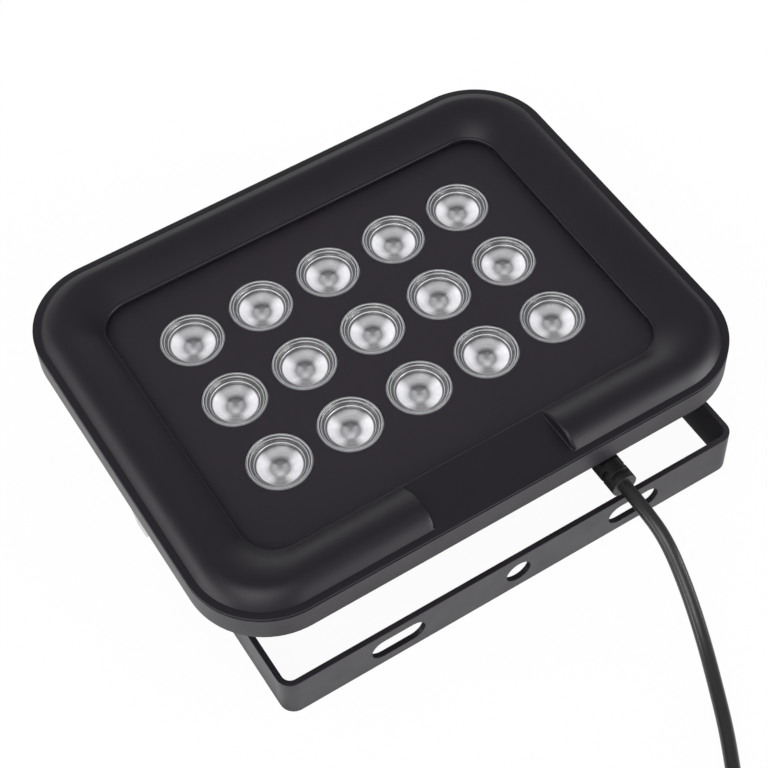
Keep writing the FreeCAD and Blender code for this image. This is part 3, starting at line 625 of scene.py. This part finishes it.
# Fills a node's inputs with plain values, or links them to other nodes' outputs.
def fill(tree, node, values):
    for key, value in values.items():
        if isinstance(value, bpy.types.NodeSocket):
            tree.links.new(value, node.inputs[key])
        else:
            node.inputs[key].default_value = value


def addNode(tree, kind, values=None, settings=None):
    node = tree.nodes.new(kind)
    for key, value in (settings or {}).items():
        setattr(node, key, value)
    fill(tree, node, values or {})
    return node


# A sum, product or other operation on numbers and outputs.
def addMath(tree, operation, *values):
    return addNode(tree, "ShaderNodeMath", dict(enumerate(values)), {"operation": operation}).outputs[0]


# An operation on vectors, and which of its two results is wanted: Vector or Value.
def addVectorMath(tree, operation, result, *values):
    node = addNode(tree, "ShaderNodeVectorMath", dict(enumerate(values)), {"operation": operation})
    return node.outputs[result]


# A value carried from one span to another, in a straight line or, where smooth, in a soft step.
def addRange(tree, value, fromSpan, toSpan, smooth=False):
    node = addNode(tree, "ShaderNodeMapRange", {
        "Value": value, "From Min": fromSpan[0], "From Max": fromSpan[1],
        "To Min": toSpan[0], "To Max": toSpan[1]},
        {"interpolation_type": "SMOOTHSTEP" if smooth else "LINEAR"})
    return node.outputs["Result"]


# A noise over the piece's own coordinates, with its scale, detail and roughness.
def addNoise(tree, place, spec):
    node = addNode(tree, "ShaderNodeTexNoise", {
        "Vector": place, "Scale": spec["scale"], "Detail": spec["detail"], "Roughness": spec["roughness"]})
    return node.outputs["Fac"]


# Two colours, mixed by a factor, or added where the way says so.
def addMix(tree, factor, low, high, way="MIX"):
    values = {"Factor": factor, "A": low, "B": high}
    settings = {"data_type": "RGBA", "blend_type": way}
    return addNode(tree, "ShaderNodeMix", values, settings).outputs["Result"]


# Two shaders, mixed by the share of the second.
def addShaderMix(tree, share, first, second):
    return addNode(tree, "ShaderNodeMixShader", {"Fac": share, 1: first, 2: second}).outputs["Shader"]


# A new material, its nodes, its shader and the piece's own coordinates.
def startMaterial(name):
    made = bpy.data.materials.new(name)
    made.use_nodes = True
    tree = made.node_tree
    place = addNode(tree, "ShaderNodeTexCoord").outputs["Object"]
    return made, tree, tree.nodes["Principled BSDF"], place


# What most finishes share. A fine grain bumps the surface, a broad mottle varies its tone and
# roughness, and edge is the soft edge's radius in millimetres, with none at 0.
usualFinish = {
    "ior": 1.5, "metallic": 0.0, "roughness": 0.40, "roughnessSpread": 0.05, "toneSpread": 0.10,
    "mottleScale": 120.0, "grainScale": 1800.0, "grainStrength": 0.2, "grainDepth": 0.03, "edge": 0.0,
}
mottleNoise = {"detail": 4.0, "roughness": 0.6, "span": (0.3, 0.7)}
grainNoise = {"detail": 2.0, "roughness": 0.55}
edgeSamples = 6


# A material from its finish: tone = colour * (1 - spread to 1 + spread) by the mottle's noise, and
# the roughness goes the same way by its own spread.
def makeMaterial(name, given):
    spec = {**usualFinish, **given}
    made, tree, shader, place = startMaterial(name)
    rough, spread, tones = spec["roughness"], spec["roughnessSpread"], spec["toneSpread"]
    mottle = addNoise(tree, place, {**mottleNoise, "scale": spec["mottleScale"]})
    grain = addNoise(tree, place, {**grainNoise, "scale": spec["grainScale"]})
    low, high = ((*[value * (1 + side * tones) for value in spec["colour"]], 1.0) for side in (-1, 1))
    bump = addNode(tree, "ShaderNodeBump", {
        "Strength": spec["grainStrength"], "Distance": spec["grainDepth"] * mm, "Height": grain})
    if spec["edge"]:
        soft = addNode(tree, "ShaderNodeBevel", {"Radius": spec["edge"] * mm}, {"samples": edgeSamples})
        fill(tree, bump, {"Normal": soft.outputs["Normal"]})
    fill(tree, shader, {
        "Base Color": (*spec["colour"], 1.0), "Roughness": rough, "Metallic": spec["metallic"],
        "IOR": spec["ior"]})
    fill(tree, shader, {
        "Base Color": addMix(tree, mottle, low, high), "Normal": bump.outputs["Normal"],
        "Roughness": addRange(tree, mottle, mottleNoise["span"], (rough - spread, rough + spread))})
    return made


# Colours are linear. Each finish gives what differs from the usual one.
finishes = {
    "bezelPlastic": {
        "colour": (0.0068, 0.0045, 0.0086), "ior": 1.37, "roughnessSpread": 0.03,
        "mottleScale": 60.0, "grainScale": 2600.0, "grainStrength": 0.25, "grainDepth": 0.05,
    },
    "panelPlastic": {
        "colour": (0.0262, 0.0224, 0.0290), "ior": 1.20, "roughness": 0.50, "roughnessSpread": 0.03,
        "toneSpread": 0.05, "mottleScale": 45.0, "grainStrength": 0.05, "grainDepth": 0.02,
    },
    "housingCoat": {
        "colour": (0.0128, 0.0098, 0.0148), "roughness": 0.42, "roughnessSpread": 0.04,
        "toneSpread": 0.08, "mottleScale": 70.0, "grainScale": 2200.0, "grainStrength": 0.35,
        "grainDepth": 0.06, "edge": 0.35,
    },
    "bracketCoat": {
        "colour": (0.0128, 0.0098, 0.0148), "toneSpread": 0.08, "mottleScale": 90.0,
        "grainScale": 2200.0, "grainStrength": 0.4, "grainDepth": 0.06, "edge": 0.35,
    },
    "cableSheath": {
        "colour": (0.0100, 0.0094, 0.0108), "roughness": 0.30, "mottleScale": 140.0,
        "grainScale": 1500.0, "grainDepth": 0.04,
    },
    "reliefRubber": {
        "colour": (0.0080, 0.0078, 0.0085), "roughness": 0.42, "roughnessSpread": 0.06,
        "mottleScale": 160.0, "grainStrength": 0.25, "grainDepth": 0.04, "edge": 0.25,
    },
    "plugRubber": {
        "colour": (0.0100, 0.0098, 0.0105), "grainScale": 1500.0, "grainStrength": 0.25,
        "grainDepth": 0.04, "edge": 0.25,
    },
    "gasketRubber": {
        "colour": (0.012, 0.012, 0.012), "roughness": 0.7, "roughnessSpread": 0.06,
        "grainScale": 2000.0, "grainStrength": 0.3, "grainDepth": 0.04,
    },
    "boardMask": {
        "colour": (0.72, 0.73, 0.72), "toneSpread": 0.05, "mottleScale": 60.0,
        "grainScale": 1500.0, "grainStrength": 0.15, "edge": 0.1,
    },
    "laminate": {
        "colour": (0.02, 0.16, 0.06), "roughness": 0.38, "toneSpread": 0.12, "mottleScale": 80.0,
        "edge": 0.1,
    },
    "ferrite": {
        "colour": (0.05, 0.05, 0.055), "roughness": 0.6, "roughnessSpread": 0.06, "toneSpread": 0.15,
        "mottleScale": 200.0, "grainScale": 2500.0, "grainStrength": 0.4, "grainDepth": 0.04,
        "edge": 0.15,
    },
    "canMetal": {
        "colour": (0.70, 0.70, 0.72), "roughness": 0.3, "metallic": 1.0, "toneSpread": 0.05,
        "mottleScale": 150.0, "grainScale": 2500.0, "grainStrength": 0.15, "edge": 0.2,
    },
    "chipPlastic": {
        "colour": (0.012, 0.012, 0.013), "roughness": 0.5, "mottleScale": 200.0,
        "grainScale": 2500.0, "grainStrength": 0.3, "edge": 0.12,
    },
    "wireRed": {
        "colour": (0.42, 0.02, 0.015), "roughness": 0.35, "roughnessSpread": 0.04,
        "toneSpread": 0.08, "mottleScale": 150.0, "grainStrength": 0.15,
    },
    "wireBlack": {
        "colour": (0.012, 0.012, 0.012), "roughness": 0.35, "roughnessSpread": 0.04,
        "toneSpread": 0.08, "mottleScale": 150.0, "grainStrength": 0.15,
    },
    "zincSteel": {
        "colour": (0.56, 0.56, 0.57), "roughness": 0.32, "roughnessSpread": 0.07, "metallic": 1.0,
        "toneSpread": 0.08, "mottleScale": 160.0, "grainScale": 2400.0, "edge": 0.2,
    },
    "nylon": {"colour": (0.68, 0.67, 0.62), "roughness": 0.45, "toneSpread": 0.05, "edge": 0.1},
    "nickel": {
        "colour": (0.74, 0.72, 0.68), "roughness": 0.2, "metallic": 1.0, "toneSpread": 0.05,
        "mottleScale": 200.0, "grainScale": 2600.0, "grainStrength": 0.1, "grainDepth": 0.02,
        "edge": 0.1,
    },
    "insulator": {
        "colour": (0.02, 0.02, 0.02), "roughness": 0.45, "mottleScale": 200.0, "grainScale": 2500.0,
    },
    "emitterCase": {
        "colour": (0.10, 0.09, 0.10), "roughness": 0.25, "toneSpread": 0.08, "mottleScale": 200.0,
        "grainScale": 2500.0, "grainStrength": 0.15, "edge": 0.1,
    },
}
materials = {name: makeMaterial(name, spec) for name, spec in finishes.items()}


# Lens: clear acrylic whose colour carries painted light. The tone follows the radius and the direction
# from the lens's middle: painted highlights make the two sides of the dish white, painted shade makes
# the far and near parts greyer, and thin painted highlights lie on the rings. Each list has the tone at
# shares of the reach, from the middle out. Turns are in degrees.
lensFinishAndPaintedLight = {
    "ior": 1.49,
    "roughness": 0.26,
    "roughnessSpread": 0.06,
    "coat": 0.8,
    "coatRoughness": 0.04,
    "tint": (0.96, 0.96, 1.0),
    "paintedHighlightTurn": -27.0,
    "paintedHighlightSpan": (0.40, 0.88),
    "nearLean": 0.25,
    "nearTurn": 240.0,
    "nearSpan": (-0.8, 0.8),
    "clouds": {"scale": 330.0, "detail": 3.0, "roughness": 0.6},
    "cloudSpan": (0.3, 0.7),
    "cloudTones": (0.90, 1.05),
    "bumpStrength": 0.12,
    "bumpDepth": 0.2,
    # The tone lists are painted light: painted highlights at the dish's sides, painted shade on its far and
    # near parts, and painted highlights on the rings.
    "sides": [
        (0.00, 0.24), (0.08, 0.36), (0.15, 0.46), (0.24, 0.38), (0.29, 0.36), (0.32, 0.54),
        (0.38, 0.78), (0.44, 0.93), (0.54, 1.0), (0.66, 1.0), (0.68, 0.60), (0.70, 0.12),
        (0.76, 0.09), (0.86, 0.09), (0.955, 0.07), (0.985, 0.04), (1.00, 0.25),
    ],
    "far": [
        (0.00, 0.24), (0.08, 0.20), (0.15, 0.15), (0.24, 0.12), (0.30, 0.11), (0.33, 0.17),
        (0.38, 0.30), (0.44, 0.42), (0.52, 0.48), (0.60, 0.40), (0.65, 0.24), (0.68, 0.09),
        (0.76, 0.07), (0.86, 0.07), (0.955, 0.03), (0.985, 0.03), (1.00, 0.25),
    ],
    "near": [
        (0.00, 0.24), (0.08, 0.36), (0.15, 0.50), (0.23, 0.62), (0.28, 0.46), (0.33, 0.30),
        (0.40, 0.26), (0.50, 0.27), (0.60, 0.32), (0.66, 0.33), (0.71, 0.34), (0.78, 0.24),
        (0.86, 0.18), (0.92, 0.12), (0.955, 0.06), (0.985, 0.03), (1.00, 0.25),
    ],
    "rings": [
        (0.00, 0.0), (0.738, 0.0), (0.752, 0.70), (0.766, 0.0), (0.846, 0.0), (0.86, 0.60),
        (0.874, 0.0), (0.918, 0.0), (0.932, 0.85), (0.946, 0.03), (0.960, 0.03), (0.970, 0.50),
        (0.980, 0.0), (1.00, 0.0),
    ],
}


# A row of tones over a value, each the given tone times the tint.
def addRamp(tree, value, stops, tint):
    ramp = addNode(tree, "ShaderNodeValToRGB", {"Fac": value})
    elements = ramp.color_ramp.elements
    while len(elements) > 1:
        elements.remove(elements[-1])
    for index, (position, tone) in enumerate(stops):
        stop = elements[0] if index == 0 else elements.new(position)
        stop.position = position
        stop.color = (*[tone * share for share in tint], 1.0)
    return ramp.outputs["Color"]


# How far a direction from the middle points the given way: its cosine to that way, by a dot
# product of the unit direction.
def addFacing(tree, unit, turn):
    way = (math.cos(math.radians(turn)), math.sin(math.radians(turn)), 0.0)
    return addVectorMath(tree, "DOT_PRODUCT", "Value", unit, way)


# The lens's painted light: with the direction from its middle as twice the texture values less one,
# its length picks from each list, the near cosine mixes far with near, and the side cosine's size plus
# a share of the near one mixes in the painted highlights at the sides. The painted ring highlights are
# added, and clouds vary the whole.
def makeLensMaterial(name, spec):
    made, tree, shader, place = startMaterial(name)
    own = addNode(tree, "ShaderNodeUVMap", settings={"uv_map": "own"}).outputs["UV"]
    centred = addVectorMath(tree, "MULTIPLY_ADD", "Vector", own, (2.0, 2.0, 0.0), (-1.0, -1.0, 0.0))
    reach = addVectorMath(tree, "LENGTH", "Value", centred)
    unit = addVectorMath(tree, "NORMALIZE", "Vector", centred)
    far, near, sides, rings = (
        addRamp(tree, reach, spec[part], spec["tint"]) for part in ("far", "near", "sides", "rings"))
    paintedHighlightFacing = addMath(tree, "ABSOLUTE", addFacing(tree, unit, spec["paintedHighlightTurn"]))
    nearer = addFacing(tree, unit, spec["nearTurn"])
    leaned = addMath(tree, "MULTIPLY_ADD", nearer, spec["nearLean"], paintedHighlightFacing)
    toNear = addRange(tree, nearer, spec["nearSpan"], (0.0, 1.0), True)
    toPaintedHighlight = addRange(tree, leaned, spec["paintedHighlightSpan"], (0.0, 1.0), True)
    paintedLightTones = addMix(tree, toPaintedHighlight, addMix(tree, toNear, far, near), sides)
    paintedLightWithRings = addMix(tree, 1.0, paintedLightTones, rings, "ADD")
    clouds = addNoise(tree, place, spec["clouds"])
    cloudTone = addRange(tree, clouds, spec["cloudSpan"], spec["cloudTones"])
    shaded = addNode(tree, "ShaderNodeVectorMath", {0: paintedLightWithRings, "Scale": cloudTone}, {"operation": "SCALE"})
    rough, spread = spec["roughness"], spec["roughnessSpread"]
    bump = addNode(tree, "ShaderNodeBump", {
        "Strength": spec["bumpStrength"], "Distance": spec["bumpDepth"] * mm, "Height": clouds})
    fill(tree, shader, {
        "IOR": spec["ior"], "Coat Weight": spec["coat"], "Coat Roughness": spec["coatRoughness"],
        "Base Color": shaded.outputs["Vector"], "Normal": bump.outputs["Normal"],
        "Roughness": addRange(tree, clouds, (0.0, 1.0), (rough - spread, rough + spread))})
    return made


# Window pane: nearly all light goes straight through. Its coated upper face mirrors the room at a
# slant, more as its Fresnel share rises over the least one. A haze varies the mirror's roughness.
paneFinish = {
    "through": 0.99,
    "ior": 1.5,
    "least": 0.06,
    "most": 0.10,
    "roughness": (0.04, 0.10),
    "haze": {"scale": 60.0, "detail": 3.0, "roughness": 0.6},
    "hazeSpan": (0.3, 0.7),
}
white = (1.0, 1.0, 1.0, 1.0)


# The mirror's share: most * (Fresnel share - least) / (1 - least), on faces seen from outside.
def makePaneMaterial(name, spec):
    made, tree, shader, place = startMaterial(name)
    tree.nodes.remove(shader)
    haze = addNoise(tree, place, spec["haze"])
    roughness = addRange(tree, haze, spec["hazeSpan"], spec["roughness"])
    clear = addNode(tree, "ShaderNodeBsdfTransparent", {"Color": (*[spec["through"]] * 3, 1.0)})
    mirror = addNode(tree, "ShaderNodeBsdfGlossy", {"Color": white, "Roughness": roughness})
    fresnel = addNode(tree, "ShaderNodeFresnel", {"IOR": spec["ior"]}).outputs["Fac"]
    grazing = addRange(tree, fresnel, (spec["least"], 1.0), (0.0, spec["most"]))
    behind = addNode(tree, "ShaderNodeNewGeometry").outputs["Backfacing"]
    share = addMath(tree, "MULTIPLY", grazing, addMath(tree, "SUBTRACT", 1.0, behind))
    both = addShaderMix(tree, share, clear.outputs["BSDF"], mirror.outputs["BSDF"])
    fill(tree, tree.nodes["Material Output"], {"Surface": both})
    return made


materials["lensAcrylic"] = makeLensMaterial("lensAcrylic", lensFinishAndPaintedLight)
materials["paneClear"] = makePaneMaterial("paneClear", paneFinish)
print("materials made", len(materials))


# The CAD nodes that each material is on, and the materials of the numbered ones.
wear = {
    "bezelPlastic": ["front_bezel"],
    "panelPlastic": ["window_panel"],
    "gasketRubber": ["window_gasket"],
    "housingCoat": ["rear_housing"],
    "bracketCoat": ["bracket"],
    "boardMask": ["emitter_board"],
    "laminate": ["driver_board"],
    "ferrite": ["driver_inductor"],
    "canMetal": ["driver_capacitor"],
    "chipPlastic": ["driver_chip"],
    "wireRed": ["supply_wire_positive", "emitter_wire_positive"],
    "wireBlack": ["supply_wire_negative", "emitter_wire_negative"],
    "reliefRubber": ["strain_relief"],
    "cableSheath": ["cable", "cable_coil", "cable_tail"],
    "plugRubber": ["plug_body"],
    "nickel": ["plug_barrel", "plug_contact"],
    "insulator": ["plug_insulator"],
    "nylon": ["friction_washers"],
    "zincSteel": [
        "bezel_screws", "board_screws", "driver_screws", "pivot_bolts", "flat_washers",
        "spring_washers",
    ],
}
numberedWear = {"lens": "lensAcrylic", "emitter": "emitterCase"}


def dress(made, material):
    made.data.materials.clear()
    made.data.materials.append(materials[material])


# A new piece gets its material and its body, and the nodes that it stands for are hidden.
def seat(made, material, slot, *replaced):
    dress(made, material)
    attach(made, "lamp")
    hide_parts(*replaced)


for material, names in wear.items():
    for name in names:
        dress(nodes[name], material)
for name, node in nodes.items():
    words = name.split("_")
    if words[-1].isdigit():
        dress(node, numberedWear[words[0]])

seat(bezelPiece, "bezelPlastic", "bezel_plastic", "front_bezel")
seat(platePiece, "panelPlastic", "panel_plastic", "window_panel")
seat(panePiece, "paneClear", "panel_plastic", "window_panel")
seat(housingPiece, "housingCoat", "housing_metal", "rear_housing")
for name, piece in lensPieces.items():
    seat(piece, "lensAcrylic", "lens_acrylic", name)
seat(cordPiece, "cableSheath", "cable_rubber", "cable", "cable_coil", "cable_tail")
print("pieces dressed")


# Stage, in metres: a large floor that glows white to the camera, in reflections and through clear
# parts, and keeps a faint shadow by a small share of its plain white. In reflections the glow is
# dimmer on the far side, a painted shade, and in a box under the head, a painted shadow of the head.
stage = {
    "size": 8.0,
    "white": 0.92,
    "roughness": 0.9,
    "shadowShare": 0.05,
    "farSide": (0.80, 0.60, 0.0),
    "farSpan": (-0.05, 0.12),
    "farLevel": 0.4,
    "under": (0.084, 0.078, 1.0),
    "underSpan": (0.88, 1.02),
    "underLevel": 0.05,
}


# The floor's glow in reflections: one less the darker of two painted shades. The far one rises with
# the dot product of the place and the far side. The one under the head, a painted shadow of the head,
# falls to nothing as the greater of x over the box's half length and y over its half width passes one.
def makeFloorMaterial(name, spec):
    made, tree, shader, place = startMaterial(name)
    rays = addNode(tree, "ShaderNodeLightPath").outputs
    along = addVectorMath(tree, "DOT_PRODUCT", "Value", place, spec["farSide"])
    farShade = addRange(tree, along, spec["farSpan"], (0.0, 1.0 - spec["farLevel"]), True)
    away = addVectorMath(tree, "ABSOLUTE", "Vector", place)
    inBox = addVectorMath(tree, "DIVIDE", "Vector", away, spec["under"])
    sides = addNode(tree, "ShaderNodeSeparateXYZ", {0: inBox}).outputs
    nearest = addMath(tree, "MAXIMUM", sides["X"], sides["Y"])
    underShade = addRange(tree, nearest, spec["underSpan"], (1.0 - spec["underLevel"], 0.0), True)
    shade = addMath(tree, "MULTIPLY", addMath(tree, "MAXIMUM", farShade, underShade), rays["Is Glossy Ray"])
    glow = addNode(tree, "ShaderNodeEmission", {
        "Color": white, "Strength": addMath(tree, "SUBTRACT", 1.0, shade)})
    seen = addMath(tree, "ADD", rays["Is Camera Ray"], rays["Is Glossy Ray"])
    seen = addMath(tree, "ADD", seen, rays["Is Transmission Ray"])
    share = addNode(tree, "ShaderNodeMath", {0: seen, 1: 1.0 - spec["shadowShare"]}, {
        "operation": "MULTIPLY", "use_clamp": True}).outputs[0]
    fill(tree, shader, {"Base Color": (*[spec["white"]] * 3, 1.0), "Roughness": spec["roughness"]})
    both = addShaderMix(tree, share, shader.outputs["BSDF"], glow.outputs["Emission"])
    fill(tree, tree.nodes["Material Output"], {"Surface": both})
    return made


def makeFloor(name, spec):
    mesh = bpy.data.meshes.new(name)
    half = spec["size"] / 2
    corners = [(-half, -half, 0), (half, -half, 0), (half, half, 0), (-half, half, 0)]
    mesh.from_pydata(corners, [], [(0, 1, 2, 3)])
    mesh.materials.append(makeFloorMaterial("floorWhite", spec))
    return addToScene(name, mesh)


makeFloor("floor", stage)


# World: an even level with a few soft patches, and plain white to the camera. A patch has its
# middle as a direction, how far it reaches, how much flatter it is upwards, and the level that it
# adds, or takes away where that is below zero.
room = {
    "even": 0.55,
    "patches": [
        {"to": (-0.88, 0.45, 0.08), "reach": 0.75, "flatter": 2.4, "level": 1.3},
        {"to": (0.33, 0.92, 0.20), "reach": 0.80, "flatter": 1.4, "level": 1.0},
        {"to": (0.50, -0.82, 0.26), "reach": 0.56, "flatter": 1.6, "level": 4.6},
        {"to": (0.50, -0.86, 0.12), "reach": 0.36, "flatter": 1.4, "level": 5.0},
        {"to": (-0.50, -0.42, 0.76), "reach": 0.60, "flatter": 1.0, "level": 4.8},
        {"to": (0.88, 0.35, 0.32), "reach": 0.75, "flatter": 1.2, "level": -0.35},
    ],
}


# Each patch adds its level in a soft step that ends at its reach: the length of (direction minus
# the patch's middle), with the upward part times how much flatter it is.
def makeRoom(name, spec):
    world = bpy.data.worlds.new(name)
    world.use_nodes = True
    tree = world.node_tree
    tree.nodes.clear()
    direction = addNode(tree, "ShaderNodeTexCoord").outputs["Generated"]
    level = spec["even"]
    for patch in spec["patches"]:
        away = addVectorMath(tree, "SUBTRACT", "Vector", direction, patch["to"])
        flat = addVectorMath(tree, "MULTIPLY", "Vector", away, (1.0, 1.0, patch["flatter"]))
        out = addVectorMath(tree, "LENGTH", "Value", flat)
        added = addRange(tree, out, (0.0, patch["reach"]), (patch["level"], 0.0), True)
        level = addMath(tree, "ADD", level, added)
    lit = addNode(tree, "ShaderNodeBackground", {"Color": white, "Strength": level})
    plain = addNode(tree, "ShaderNodeBackground", {"Color": white, "Strength": 1.0})
    seen = addNode(tree, "ShaderNodeLightPath").outputs["Is Camera Ray"]
    both = addShaderMix(tree, seen, lit.outputs["Background"], plain.outputs["Background"])
    addNode(tree, "ShaderNodeOutputWorld", {"Surface": both})
    return world


bpy.context.scene.world = makeRoom("studio", room)


# Lamps: soft panels, in metres and watts. Each has a place, a point it faces, a size and a power.
lamps = {
    "leftPanel": {"at": (-1.4, 0.10, 0.28), "to": (0.0, 0.0, 0.03), "size": (1.2, 0.4), "power": 7.0},
    "frontPanel": {"at": (1.05, -0.85, 0.14), "to": (0.0, 0.0, 0.03), "size": (0.7, 0.24), "power": 6.0},
}


def makeLamp(name, spec):
    data = bpy.data.lights.new(name, "AREA")
    data.shape = "RECTANGLE"
    data.size, data.size_y = spec["size"]
    data.energy = spec["power"]
    made = addToScene(name, data)
    aim = Vector(spec["to"]) - Vector(spec["at"])
    made.location = spec["at"]
    made.rotation_euler = aim.to_track_quat("-Z", "Y").to_euler()
    return made


for name, spec in lamps.items():
    makeLamp(name, spec)
print("stage made")
